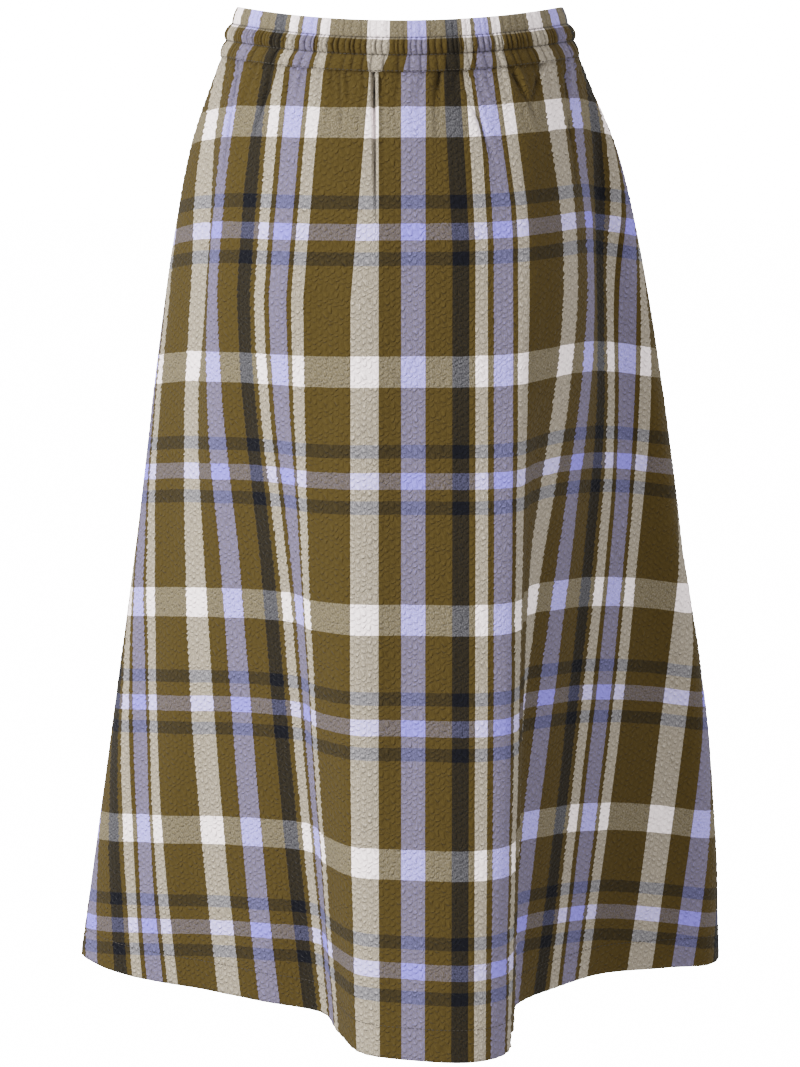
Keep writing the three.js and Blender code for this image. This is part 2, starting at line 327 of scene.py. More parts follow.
def crowded(columns):
    """Shares from 0 to 1 that lie closer together round the main pleat."""
    even = np.linspace(0.0, 1.0, 20 * columns + 1)
    density = 1 + PLEAT_CROWDING * bell((even - PLEAT_SHARE) / PLEAT_NEAR)
    passed = np.concatenate([[0.0], np.cumsum((density[1:] + density[:-1]) / 2)])
    return np.interp(np.linspace(0.0, 1.0, columns + 1), passed / passed[-1], even)


class Panel:
    """One flared panel as grids of places, row by row down the cloth."""

    def __init__(self, piece, facing, tucks, creases, seed):
        across = crowded(PANEL_COLUMNS)
        shares = (np.arange(PANEL_ROWS + 1) / PANEL_ROWS) ** ROW_CROWDING
        top = WAIST_SEAM["height"] - SEAM_GAP / 2
        heights = top + (HEM_HEIGHT - top) * shares
        lines = [stretch(fold_points(height), piece, across) for height in heights]
        side, fore, lift, distance = (np.array([line[part] for line in lines]) for part in range(4))
        drop = dip_at(side, fore) * (1 - shares[:, None]) ** DIP_FADE
        height = heights[:, None] - drop + lift * shares[:, None]
        self.form = np.stack([side, -fore, height], axis=2)
        self.out = outward(self.form)

        # The middle grain line, from which the cut is measured across and down.
        inner = slice(PANEL_COLUMNS // 4, 3 * PANEL_COLUMNS // 4)
        parts = (distance, -fore, height)
        grain = np.array(
            [
                [np.interp(GRAIN_SIDE, facing * side[row, inner], part[row, inner]) for part in parts]
                for row in range(PANEL_ROWS + 1)
            ]
        )
        self.across = distance - grain[:, :1]
        steps = np.hypot(*np.diff(grain[:, 1:], axis=0).T)
        self.length = np.concatenate([[0.0], np.cumsum(steps)])
        self.radius = CUT_WAIST_RADIUS + self.length[:, None] - lift * shares[:, None]
        self.seam_distance = np.broadcast_to(distance[0], distance.shape)

        self.down = np.broadcast_to(self.length[:, None], self.across.shape)
        self.dent, self.hollow, self.swallowed = (np.zeros_like(self.across) for _ in range(3))
        self.lay_tucks(tucks)
        self.lay_creases(creases)
        self.lay_gathers(seed)
        self.place_on_cut()
        self.raise_cloth()
        self.turn_in()
        self.tuck_under()

    def lay_tucks(self, tucks):
        """Dent the cloth along each tuck, paint shade along it and count the cloth that the tuck swallows.
        """
        for tuck in read(tucks, TUCK_COLUMNS):
            share = np.clip(self.down / tuck["length"], 0.0, 1.0)
            centre = tuck["across"] + (tuck["ends_across"] - tuck["across"]) * share
            fade = (1 - share) ** 0.8 * (0.6 + 0.4 * smooth_step(self.down, 0.0, 10.0))
            offset = (self.across - centre) / tuck["width"]
            self.dent -= tuck["depth"] * fade * bell(offset)
            self.dent += TUCK_LIP * tuck["depth"] * fade * bell((offset - LIP_PLACE) / LIP_WIDTH)
            self.hollow += TUCK_SHADE * tuck["depth"] * (1 - share) ** 0.35 * bell(offset / SHADE_WIDTH)
            hidden = tuck["hides"] * np.clip(1 - self.down / tuck["reach"], 0.0, 1.0)
            self.swallowed += 0.5 * hidden * (np.tanh(offset) - np.tanh(-centre / tuck["width"]))

    def lay_creases(self, creases):
        """Raise or dent the cloth along each soft crease."""
        for crease in read(creases, CREASE_COLUMNS):
            share = np.clip((self.down - crease["top"]) / (crease["bottom"] - crease["top"]), 0.0, 1.0)
            centre = crease["across"] + (crease["ends_across"] - crease["across"]) * share
            fade = np.sin(np.pi * np.clip(share, 0.02, 0.98)) ** 0.8
            self.dent += crease["height"] * fade * bell((self.across - centre) / crease["width"])

    def lay_gathers(self, seed):
        """Gather the top of the cloth into the waistband seam, and paint shade into the gathers' creases and
        the seam.
        """
        down, along = self.down, self.seam_distance
        slanted = along + GATHER_SWAY * np.sin(down / 7.0 + along / 19.0)
        full, fine = FULL_GATHERS, FINE_GATHERS
        width = along[0, -1]
        full_crest, full_crease = Gathers(seed, width, full["narrowest"], full["widest"]).at(slanted)
        fine_crest, fine_crease = Gathers(seed + 1, width, fine["narrowest"], fine["widest"]).at(slanted)
        starting = smooth_step(down, -2.0, 8.0)
        self.dent += full["height"] * (full_crest - 0.5) * np.exp(-down / full["reach"]) * starting
        self.dent += fine["height"] * (fine_crest - 0.5) * np.exp(-down / fine["reach"])
        full_shade = GATHER_SHADE * full_crease * np.exp(-down / full["shade_reach"])
        fine_shade = GATHER_SHADE * fine_crease * np.exp(-down / fine["shade_reach"])
        self.hollow += full_shade + fine_shade
        self.hollow += SEAM_SHADE * bell(down / SEAM_SHADE_REACH)
        self.hollow = np.clip(self.hollow, 0.0, DEEPEST_SHADE)

    def place_on_cut(self):
        """Each place's distance across the cut, over the warp yarns, and down it, over the weft yarns."""
        plain = self.across
        cut_width = 2 * CUT_HALF_ANGLE * (CUT_WAIST_RADIUS + self.length)
        form_width = plain[:, -1] - plain[:, 0]
        hidden = np.maximum(cut_width - form_width, 0.0)
        tucked = self.swallowed[:, -1] - self.swallowed[:, 0]
        even = np.maximum(hidden - tucked, 0.0) / form_width
        turn = (plain * (1 + even[:, None]) + self.swallowed) / self.radius
        self.warp = self.radius * np.sin(turn)
        left, right = (smooth_step(side, *DRAWN_BETWEEN) for side in (-plain, plain))
        self.weft = self.radius * np.cos(turn) - CUT_WAIST_RADIUS + DRAWN_UP[0] * left + DRAWN_UP[1] * right

    def raise_cloth(self):
        """The outer and inner faces: the form with its dents, puckers and waves, and its thickness."""
        puckers = np.sin(2 * np.pi * self.warp / SWELL_ACROSS + 1.7 * np.sin(self.weft / 23.0))
        puckers = puckers * np.sin(2 * np.pi * self.weft / SWELL_ALONG + 2.1 * np.sin(self.warp / 17.0))
        puckers = puckers * (SWELL_HEIGHT + SWELL_TURNED * self.out[..., 0] ** 2)
        waves = np.sin(self.warp / 12.0 + 1.4 * np.sin(self.weft / 37.0))
        waves = waves * np.sin(self.weft / 21.0 + self.warp / 60.0)
        from_seam = np.minimum(self.across - self.across[:, :1], self.across[:, -1:] - self.across)
        calm = smooth_step(from_seam, 0.0, SEAM_CALM)
        raised = calm * (self.dent + puckers + WAVE_HEIGHT * waves)
        self.outer = self.form + self.out * raised[..., None]
        thick = CLOTH_THICK + HEM_THICK * (self.down > self.length[-1] - HEM_TURN)
        self.inner = self.form + self.out * (calm * self.dent - thick)[..., None]

    def turn_in(self):
        """Columns beyond both side seams that turn in behind the other panel's edge."""
        turn = np.linspace(0.0, 1.0, TURNED_COLUMNS + 1)[1:]
        turnings = []
        for end, inward, sign, share in ((0, 1, -1, turn[::-1]), (-1, -2, 1, turn)):
            out = self.out[:, end, None]
            along = self.form[:, end] - self.form[:, inward]
            along = along / np.linalg.norm(along, axis=1, keepdims=True)
            path = along[:, None] * (TURNED_IN * share)[None, :, None]
            drop = out * (TURNED_BEHIND * np.sqrt(share))[None, :, None]
            turnings.append(
                {
                    "outer": self.outer[:, end, None] + path - drop,
                    "inner": self.inner[:, end, None] + path - drop,
                    "form": self.form[:, end, None] + path - drop,
                    "out": np.repeat(out, TURNED_COLUMNS, axis=1),
                    "warp": self.warp[:, end, None] + sign * TURNED_IN * share,
                    "weft": np.repeat(self.weft[:, end, None], TURNED_COLUMNS, axis=1),
                    "hollow": self.hollow[:, end, None] + TURNED_SHADE * share,
                }
            )
        left, right = turnings
        for grid in left:
            setattr(self, grid, np.concatenate([left[grid], getattr(self, grid), right[grid]], axis=1))

    def tuck_under(self):
        """Rows above the seam that run up inside the waistband's edge."""
        rise = np.linspace(1.0, 0.0, TUCKED_ROWS + 1)[:-1, None, None]
        up = np.array([0.0, 0.0, TUCKED_UNDER]) * rise
        behind = self.form[:1] - TUCKED_BEHIND * self.out[:1]
        settle = 1 - (1 - rise) ** 3
        outer = self.outer[:1] * (1 - settle) + behind * settle + up
        inner = self.inner[:1] * (1 - settle) + (behind - TUCKED_BEHIND * self.out[:1]) * settle + up
        self.outer = np.concatenate([outer, self.outer])
        self.inner = np.concatenate([inner, self.inner])
        ones = np.ones((TUCKED_ROWS, 1))
        self.warp = np.concatenate([self.warp[:1] * ones, self.warp])
        self.weft = np.concatenate([self.weft[:1] - TUCKED_UNDER * rise[..., 0], self.weft])
        # The rows tucked up under the waistband are painted in full shade.
        self.hollow = np.concatenate([np.ones_like(self.hollow[:1]) * ones, self.hollow])
        self.slant = np.abs(np.concatenate([self.out[:1, :, 0] * ones, self.out[..., 0]]))

    def line(self, distance, lift):
        """A line of places across the cloth, a distance down from the seam and a little off its face."""
        row = TUCKED_ROWS + int(np.argmin(np.abs(self.length - distance)))
        whole = slice(TURNED_COLUMNS, -TURNED_COLUMNS)
        return self.outer[row, whole] + lift * self.out[row - TUCKED_ROWS, whole]


# ---------------------------------------------------------------------------------------------------------
# Meshes
# ---------------------------------------------------------------------------------------------------------


def cloth_mesh(name, points, faces, warp, weft, hollow, slant):
    """A smooth mesh in metres. Its UV map `cloth` holds each corner's place on the cut, a point attribute
    the shade painted into its creases, tucks and seams, and `slant` how far it turns to the side."""
    mesh = bpy.data.meshes.new(name)
    mesh.from_pydata((points * MM).tolist(), [], faces)
    mesh.update()
    flat = np.stack([warp, weft], axis=1) * MM
    corners = np.empty(len(mesh.loops), dtype=np.int32)
    mesh.loops.foreach_get("vertex_index", corners)
    mesh.uv_layers.new(name="cloth").data.foreach_set("uv", flat[corners].astype(np.float32).ravel())
    for label, values in (("hollow", hollow), ("slant", slant)):
        mesh.attributes.new(label, "FLOAT", "POINT").data.foreach_set("value", values.astype(np.float32))
    mesh.polygons.foreach_set("use_smooth", [True] * len(mesh.polygons))
    piece = bpy.data.objects.new(name, mesh)
    bpy.context.scene.collection.objects.link(piece)
    return piece


def grid_quads(rows, columns, first, flipped=False):
    """Quads over a grid of points, facing out for an outer grid and in for a flipped one."""
    row, column = np.meshgrid(np.arange(rows - 1), np.arange(columns - 1), indexing="ij")
    corner = first + row * columns + column
    ring = [corner, corner + columns, corner + columns + 1, corner + 1]
    if flipped:
        ring.reverse()
    return np.stack(ring, axis=-1).reshape(-1, 4).tolist()


def shell(name, outer, inner, marks, coarse):
    """A closed shell: a fine outer grid, an inner grid of every coarse-th point, and a rim round both.
    marks are the warp, weft, hollow and slant of the grid."""
    rows, columns = outer.shape[:2]
    inner = inner[::coarse, ::coarse]
    inner_rows, inner_columns = inner.shape[:2]
    base = rows * columns
    faces = grid_quads(rows, columns, 0) + grid_quads(inner_rows, inner_columns, base, flipped=True)

    def outer_at(row, column):
        return row * columns + column

    def inner_at(row, column):
        return base + row * inner_columns + column

    for step in range(inner_columns - 1):
        fine = range(step * coarse, (step + 1) * coarse + 1)
        top = [outer_at(0, column) for column in fine]
        bottom = [outer_at(rows - 1, column) for column in fine]
        faces.append([*top, inner_at(0, step + 1), inner_at(0, step)])
        faces.append([*bottom[::-1], inner_at(inner_rows - 1, step), inner_at(inner_rows - 1, step + 1)])
    for step in range(inner_rows - 1):
        fine = range(step * coarse, (step + 1) * coarse + 1)
        start = [outer_at(row, 0) for row in fine]
        end = [outer_at(row, columns - 1) for row in fine]
        faces.append([*start[::-1], inner_at(step, 0), inner_at(step + 1, 0)])
        faces.append([*end, inner_at(step + 1, inner_columns - 1), inner_at(step, inner_columns - 1)])
    points = np.concatenate([outer.reshape(-1, 3), inner.reshape(-1, 3)])
    marks = [np.concatenate([part.ravel(), part[::coarse, ::coarse].ravel()]) for part in marks]
    return cloth_mesh(name, points, faces, *marks)


# ---------------------------------------------------------------------------------------------------------
# Node trees
# ---------------------------------------------------------------------------------------------------------


class Wire:
    """A socket of a node tree. Arithmetic on wires and numbers adds Math nodes."""

    def __init__(self, tree, socket):
        self.tree, self.socket = tree, socket

    def math(self, operation, *others):
        """The Math node of an operation on this wire and others."""
        return self.tree.add("ShaderNodeMath", {"operation": operation}, dict(enumerate((self, *others))))

    def __add__(self, other):
        return self.math("ADD", other)

    def __sub__(self, other):
        return self.math("SUBTRACT", other)

    def __rsub__(self, other):
        return self.tree.add("ShaderNodeMath", {"operation": "SUBTRACT"}, {0: other, 1: self})

    def __mul__(self, other):
        return self.math("MULTIPLY", other)

    def __truediv__(self, other):
        return self.math("DIVIDE", other)

    def __pow__(self, other):
        return self.math("POWER", other)

    __radd__ = __add__
    __rmul__ = __mul__

    def sine(self):
        return self.math("SINE")

    def fraction(self):
        return self.math("FRACT")

    def floored(self):
        return self.math("FLOOR")

    def clamped(self, low, high):
        return self.math("MAXIMUM", low).math("MINIMUM", high)


class Tree:
    """A node tree that is built one node at a time."""

    def __init__(self, nodes, links):
        self.nodes, self.links = nodes, links

    def add(self, kind, settings, inputs, output=0):
        """A node: its settings are set first, then its sockets are given values or wires."""
        node = self.nodes.new(kind)
        for name, value in settings.items():
            if name == "stops":
                self.set_stops(node.color_ramp, value)
            elif name == "ramp":
                node.color_ramp.interpolation = value
            else:
                setattr(node, name, value)
        for name, value in inputs.items():
            if isinstance(value, Wire):
                self.links.new(value.socket, node.inputs[name])
            else:
                node.inputs[name].default_value = value
        return Wire(self, node.outputs[output]) if len(node.outputs) else None

    @staticmethod
    def set_stops(ramp, stops):
        """Give a colour ramp its stops, as (position, colour)."""
        while len(ramp.elements) > 1:
            ramp.elements.remove(ramp.elements[-1])
        for index, (position, colour) in enumerate(stops):
            stop = ramp.elements[0] if index == 0 else ramp.elements.new(position)
            stop.position = position
            stop.color = (*colour, 1.0)

    def vector(self, operation, *values, scale=None):
        """A Vector Math node."""
        inputs = dict(enumerate(values))
        if scale is not None:
            inputs["Scale"] = scale
        return self.add("ShaderNodeVectorMath", {"operation": operation}, inputs)

    def mix(self, share, low, high):
        """A mix of two colours."""
        return self.add("ShaderNodeMix", {"data_type": "RGBA"}, {"Factor": share, 6: low, 7: high}, output=2)


def new_material(name):
    """A material with an empty tree, as the material and its tree."""
    material = bpy.data.materials.new(name)
    material.use_nodes = True
    material.node_tree.nodes.clear()
    tree = Tree(material.node_tree.nodes, material.node_tree.links)
    return material, tree


def finish_material(tree, inputs):
    """The shader and the output at the end of a tree."""
    shader = tree.add("ShaderNodeBsdfPrincipled", {}, inputs)
    tree.add("ShaderNodeOutputMaterial", {}, {"Surface": shader})


# ---------------------------------------------------------------------------------------------------------
# The seersucker: yarn-dyed plaid, woven warp over weft, with puckers
# ---------------------------------------------------------------------------------------------------------

# Yarn colours as they look, from 0 to 1.
YARNS = {
    "olive": (0.428, 0.352, 0.152),
    "white": (0.895, 0.885, 0.885),
    "cream": (0.895, 0.885, 0.885),
    "lavender": (0.702, 0.710, 0.880),
    "navy": (0.076, 0.090, 0.138),
}
MIX_POWER = 1.45  # a bright yarn outweighs a dark one in the eye: looks are mixed at this power
LOOK_GAMMA = 2.2
DYE_SCALE = 0.245  # turns a look into the share of light that the dyed yarn gives back

# One repeat of each set of stripes, as (yarn, width in millimetres), from the white stripe's left edge
# and from the cream band's upper edge.
WARP_STRIPES = (
    ("white", 20.6),
    ("olive", 16.3),
    ("lavender", 18.1),
    ("olive", 20.0),
    ("navy", 12.4),
    ("olive", 4.6),
    ("white", 9.6),
    ("olive", 4.4),
    ("lavender", 14.7),
    ("olive", 4.1),
    ("white", 9.6),
    ("olive", 36.2),
)
WEFT_STRIPES = (
    ("cream", 22.4),
    ("olive", 42.6),
    ("navy", 10.2),
    ("olive", 10.9),
    ("lavender", 11.9),
    ("olive", 8.9),
    ("navy", 9.9),
    ("olive", 67.6),
)
WARP_START = -46.0  # the white stripe's left edge, from the middle grain line
WEFT_START = 25.5  # the first cream band's upper edge, below the waistband seam
BAND_WEFT_START = -9.0  # where the same repeat starts on the waistband, from its top edge
WARP_SHARE = 0.63  # how much of a crossing's colour the warp gives

# Puckers, in millimetres or in shares of a pucker.
PUCKER_WIDE, PUCKER_TALL = 4.2, 5.0  # one pucker, across and along the warp
PANEL_PUCKER, BAND_PUCKER = 0.95, 0.5  # how high they stand on the panels and on the waistband
COLUMN_DRIFT, ROW_DRIFT = 0.7, 1.5  # how far their columns and rows wander
ROW_STEP, ROW_BOW = 0.54, 0.2  # how far each column is set off against the last, and how rows arch
PUCKER_SWELL, COLUMN_SWELL = 2.2, 0.16  # how much each pucker and its whole column rise
PUCKER_FOOT, PUCKER_MIDDLE = 0.5, 0.6  # the height between the columns, and the mean height
STRIPE_PULL, SLANT_PULL, BAND_DRIFT = 0.3, 2.4, 0.8  # how far stripes' edges are pulled and wander
# How large the lumps of the noise are, across and down.
DRIFT_LUMP, PATCH_LUMP, STREAK_LUMP = (11.0, 9.0), (5.0, 7.0), (0.8, 1.5)

# Painted light and shade in the cloth's colour: pucker tops painted lighter, creases painted darker; streaks
# vary the tone.
STREAK_MIX, PUCKER_MIX = 0.7, 0.08  # how far the share of the weft changes with streaks and puckers
PLAIN_LIGHT, PUCKER_PAINTED_LIGHT, STREAK_LIGHT = 0.86, 0.24, 0.45
STREAK_RELIEF = 0.4
CREASE_SHADE = 0.6  # how much darker the painted shade makes the bottom of the deepest crease

THREAD_COLOUR = (0.022, 0.016, 0.008)


def stripe_stops(stripes):
    """The stops of a colour ramp over one repeat of stripes, and the repeat's size."""
    total = sum(width for _, width in stripes)
    stops, place = [], 0.0
    for yarn, width in stripes:
        stops.append((place / total, tuple(part**MIX_POWER for part in YARNS[yarn])))
        place += width
    return stops, total


def stripes(tree, place, start, table):
    """The colour of the yarns at a place across a set of stripes."""
    stops, total = stripe_stops(table)
    share = ((place - start) / total).fraction()
    return tree.add("ShaderNodeValToRGB", {"ramp": "CONSTANT", "stops": stops}, {"Fac": share})


def cloth_noise(tree, warp, weft, lump, detail):
    """Noise over the cut, in lumps of a size across and along the warp."""
    place = tree.add("ShaderNodeCombineXYZ", {}, {0: warp / lump[0], 1: weft / lump[1]})
    inputs = {"Vector": place, "Scale": 1.0} | detail
    return tree.add("ShaderNodeTexNoise", {"noise_dimensions": "2D"}, inputs, output="Fac")


def puckers(tree, warp, weft, drift):
    """Columns of small blisters, each swelling downwards and then dropping back in an arc."""
    column = warp / PUCKER_WIDE + (drift - 0.5) * COLUMN_DRIFT
    arch = (column.fraction() * math.pi).sine() ** 1.3
    row = weft / PUCKER_TALL + column.floored() * ROW_STEP + drift * ROW_DRIFT - arch * ROW_BOW
    step = row.fraction()
    swell = step * (1 - step**8) * 1.4
    patch = cloth_noise(tree, warp, weft, PATCH_LUMP, {"Detail": 0.0})
    return arch * ((swell - 0.5) * patch * PUCKER_SWELL + COLUMN_SWELL) + PUCKER_FOOT


def seersucker(name, weft_start, pucker_height):
    """The cloth's material, in millimetres on the cut."""
    material, tree = new_material(name)
    cloth = tree.add("ShaderNodeUVMap", {"uv_map": "cloth"}, {})
    place = tree.vector("SCALE", cloth, scale=1 / MM)
    warp, weft = (tree.add("ShaderNodeSeparateXYZ", {}, {0: place}, output=axis) for axis in (0, 1))
    # This attribute holds the shade painted into creases, tucks and seams, and darkens the colour below.
    hollow = tree.add("ShaderNodeAttribute", {"attribute_name": "hollow"}, {}, output="Fac")
    slant = tree.add("ShaderNodeAttribute", {"attribute_name": "slant"}, {}, output="Fac")
    drift = cloth_noise(tree, warp, weft, DRIFT_LUMP, {"Detail": 1.0})
    streak = cloth_noise(tree, warp, weft, STREAK_LUMP, {"Detail": 2.0, "Roughness": 0.7}) - 0.5
    dome = puckers(tree, warp, weft, drift)

    # The crossing's colour: streaks show where warp or weft comes up, and puckers pull the stripes' edges in
    # and out, most of all where the cloth turns to the side.
    rise = dome - PUCKER_MIDDLE
    warp_seen = warp + rise * (slant * slant * SLANT_PULL + STRIPE_PULL)
    weft_seen = weft + (drift - 0.5) * BAND_DRIFT
    weft_share = streak * STREAK_MIX + (1 - WARP_SHARE) - rise * PUCKER_MIX
    warp_colour = stripes(tree, warp_seen, WARP_START, WARP_STRIPES)
    weft_colour = stripes(tree, weft_seen, weft_start, WEFT_STRIPES)
    crossing = tree.mix(weft_share.clamped(0.0, 1.0), warp_colour, weft_colour)
    looks = tree.add("ShaderNodeGamma", {}, {"Color": crossing, "Gamma": LOOK_GAMMA / MIX_POWER})
    rest = tree.vector("SUBTRACT", (1.0, 1.0, 1.0), looks)
    dyed = tree.vector("DIVIDE", looks, rest)
    # Painted light and shade: the puckers' tops are painted lighter and the marked creases, tucks and seams
    # darker; streaks vary the tone at random.
    tone_and_painted_light = (dome * PUCKER_PAINTED_LIGHT + streak * STREAK_LIGHT + PLAIN_LIGHT) * (1 - hollow * CREASE_SHADE)
    colour = tree.vector("SCALE", dyed, scale=tone_and_painted_light * DYE_SCALE)

    relief = dome * pucker_height + streak * STREAK_RELIEF
    bump = tree.add("ShaderNodeBump", {}, {"Strength": 1.0, "Distance": 1.0 * MM, "Height": relief})
    finish_material(
        tree,
        {
            "Base Color": colour,
            "Roughness": 0.9,
            "Specular IOR Level": 0.12,
            "Sheen Weight": 0.03,
            "Sheen Roughness": 0.5,
            "Normal": bump,
        },
    )
    return material


def plain_thread(name, colour):
    """Matt sewing thread with a little fuzz."""
    material, tree = new_material(name)
    place = tree.add("ShaderNodeTexCoord", {}, {}, output="Object")
    fuzz = tree.add("ShaderNodeTexNoise", {}, {"Vector": place, "Scale": 900.0, "Detail": 2.0}, output="Fac")
    dark = tuple(part * 0.6 for part in colour)
    tint = tree.mix(fuzz, (*dark, 1.0), (*colour, 1.0))
    bump = tree.add("ShaderNodeBump", {}, {"Strength": 0.4, "Distance": 0.1 * MM, "Height": fuzz})
    finish_material(tree, {"Base Color": tint, "Roughness": 0.75, "Normal": bump})
    return material


# ---------------------------------------------------------------------------------------------------------
# The pieces
# ---------------------------------------------------------------------------------------------------------

# The waistband's three elastic channels, from the top one down: how far each swells, how high its gathers
# stand, the narrowest and widest of them, and how far they bow to one side or lean away from the middle.
CHANNEL_COLUMNS = ("puff", "gathers", "narrowest", "widest", "bow", "lean")
CHANNELS = {
    "top channel": (0.7, 0.8, 4.0, 9.5, 0.3, 0.0),
    "middle channel": (1.9, 2.3, 2.6, 5.6, 0.9, 0.0),
    "lower channel": (0.9, 1.7, 4.5, 11.0, 0.2, 0.04),
}
BAND_COLUMNS, BAND_ROWS, INNER_ROWS = 900, 72, 24  # steps along, down the outside and up the inside
CHANNEL_SHADE = 0.75  # the shade painted in its creases for each millimetre that the gathers stand high
LINE_SHADE, LINE_WIDTH = 0.8, 0.05  # the shade painted along the channels' stitch lines, and its width in channels
# the most shade that may be painted on the waistband
DEEPEST_BAND_SHADE = 1.3
EDGE_WOBBLE, EDGE_REACH = 0.5, 0.08  # how much the top edge rises and falls with the gathers
INNER_DEPTH, INNER_SWELL, INNER_GATHERS = 1.2, 0.8, 0.6  # how far the inside lies behind the form
MATCHED = 0.7  # how closely the strip's stripes meet the panel's at the seam


def panels(cloth):
    """The front and back panels, as their pieces and their grids."""
    front = Panel(FRONT, 1, FRONT_TUCKS, FRONT_CREASES, GATHER_SEED)
    back = Panel(BACK, -1, BACK_TUCKS, BACK_CREASES, GATHER_SEED + 10)
    made = []
    for name, panel in (("front_cloth", front), ("back_cloth", back)):
        marks = (panel.warp, panel.weft, panel.hollow, panel.slant)
        piece = shell(name, panel.outer, panel.inner, marks, coarse=5)
        piece.data.materials.append(cloth)
        made.append(piece)
    return made, (front, back)


class Band:
    """Half of the waistband: a gathered strip folded over at the top and sewn into three channels."""

    def __init__(self, piece, seed, facing, panel):
        down = np.arange(BAND_ROWS + 1) / BAND_ROWS
        up = np.arange(INNER_ROWS, -1, -1) / INNER_ROWS
        plain_out, self.normal, distance = self.plain(piece, down)
        plain_in, normal_in, _ = self.plain(piece, up)
        from_middle = distance - distance[self.middle(plain_out[0], facing)]

        height, hollow = self.channels(seed, down, distance, from_middle)
        self.hollow = np.clip(hollow, 0.0, DEEPEST_BAND_SHADE)
        self.outer = plain_out + self.normal * height[..., None]
        self.outer[..., 2] += EDGE_WOBBLE * (height - height[:1].mean()) * bell(down / EDGE_REACH)[:, None]
        gathers = INNER_GATHERS * Gathers(seed + 5, distance[-1], 3.5, 8.0).at(distance)[0]
        swell = INNER_SWELL * np.sin(np.pi * up * len(CHANNELS))[:, None] ** 2
        self.inner = plain_in - normal_in * (INNER_DEPTH + swell + gathers)[..., None]

        strip = WAIST_TOP["height"] - WAIST_SEAM["height"]
        gathered = np.where(from_middle < 0, BAND_GATHER[0], BAND_GATHER[1]) * from_middle
        seam_warp = panel.warp[TUCKED_ROWS, TURNED_COLUMNS:-TURNED_COLUMNS]
        matched = np.interp(distance, panel.seam_distance[0], seam_warp)
        join = MATCHED * smooth_step(down, 0.55, 1.0)[:, None]
        self.warp = gathered[None, :] * (1 - join) + matched[None, :] * join
        self.weft = np.broadcast_to(down[:, None] * strip, self.warp.shape)
        self.inner_weft = np.broadcast_to(-up[:, None] * strip, self.inner.shape[:2])

    @staticmethod
    def channels(seed, down, distance, from_middle):
        """How far each place stands out from the plain form, and how much shade is painted on it."""
        channel = np.minimum((down * len(CHANNELS)).astype(int), len(CHANNELS) - 1)
        inside = down * len(CHANNELS) - channel
        tube = np.sin(np.pi * inside)[:, None] ** 0.7
        height = np.zeros((len(down), len(distance)))
        hollow = np.zeros_like(height)
        for index, row in enumerate(read(CHANNELS, CHANNEL_COLUMNS)):
            gathers = Gathers(seed + index, distance[-1], row["narrowest"], row["widest"])
            drift = distance[None, :] + (row["bow"] * np.sin(np.pi * inside))[:, None]
            drift = drift - row["lean"] * inside[:, None] * from_middle[None, :]
            crest, crease = gathers.at(np.clip(drift, 0.0, distance[-1]))
            here = (channel == index)[:, None]
            height += here * (row["puff"] * tube + row["gathers"] * (0.35 + 0.65 * tube) * crest)
            hollow += here * CHANNEL_SHADE * row["gathers"] * crease
        line = np.abs(down * len(CHANNELS) - np.round(down * len(CHANNELS)))
        below_top, weaker_at_seam = down > 0.1, 1 - 0.6 * (down > 0.9)
        hollow += (LINE_SHADE * bell(line / LINE_WIDTH) * below_top * weaker_at_seam)[:, None]
        return height, hollow

    @staticmethod
    def plain(piece, shares):
        """The plain form at shares of the way down: its places, its normals and the distances along it."""
        across = np.linspace(0.0, 1.0, BAND_COLUMNS + 1)
        top, seam = WAIST_TOP, WAIST_SEAM
        lines = []
        for share in shares:
            ring = {size: top[size] + (seam[size] - top[size]) * share for size in top}
            side, fore, _, distance = stretch(oval_points(ring), piece, across)
            height = ring["height"] + (SEAM_GAP / 2) * share - dip_at(side, fore)
            lines.append(np.stack([side, -fore, height], axis=1))
        points = np.array(lines)
        along = np.gradient(points, axis=1)
        normal = np.stack([along[..., 1], -along[..., 0], np.zeros(points.shape[:2])], axis=2)
        return points, normal / np.linalg.norm(normal, axis=2, keepdims=True), distance

    @staticmethod
    def middle(line, facing):
        """The column at the middle grain line."""
        inner = slice(BAND_COLUMNS // 4, 3 * BAND_COLUMNS // 4)
        target = BAND_GRAIN_SIDE * facing
        return int(np.argmin(np.abs(line[inner, 0] - target))) + inner.start

    def mesh(self, name):
        """One closed surface: down the outer face, under the seam edge and up the inner face."""
        points = np.concatenate([self.outer, self.inner])
        rows, columns = points.shape[:2]
        faces = [[corner % (rows * columns) for corner in face] for face in grid_quads(rows + 1, columns, 0)]
        start = [row * columns for row in range(rows)]
        faces.append(start[::-1])
        faces.append([corner + columns - 1 for corner in start])
        warp = np.concatenate([self.warp, np.broadcast_to(self.warp[0], self.inner.shape[:2])])
        weft = np.concatenate([self.weft, self.inner_weft])
        hollow = np.concatenate([self.hollow, np.zeros(self.inner.shape[:2])])
        slant = np.zeros(points.shape[:2])
        slant[: len(self.outer)] = np.abs(self.normal[..., 0])
        marks = [mark.ravel() for mark in (warp, weft, hollow, slant)]
        return cloth_mesh(name, points.reshape(-1, 3), faces, *marks)

    def line(self, share, lift):
        """A line of places along the strip, a share of the way down it and a little off its face."""
        row = round(share * BAND_ROWS)
        return self.outer[row] + lift * self.normal[row]


def bands(cloth, front_panel, back_panel):
    """The two halves of the waistband, each as its piece and its grids."""
    made = []
    for name, piece, seed, facing, panel in (
        ("waistband_front_cloth", FRONT, GATHER_SEED + 20, 1, front_panel),
        ("waistband_back_cloth", BACK, GATHER_SEED + 30, -1, back_panel),
    ):
        band = Band(piece, seed, facing, panel)
        strip = band.mesh(name)
        strip.data.materials.append(cloth)
        made.append((strip, band))
    return made


# ---------------------------------------------------------------------------------------------------------
# Stitching
# ---------------------------------------------------------------------------------------------------------

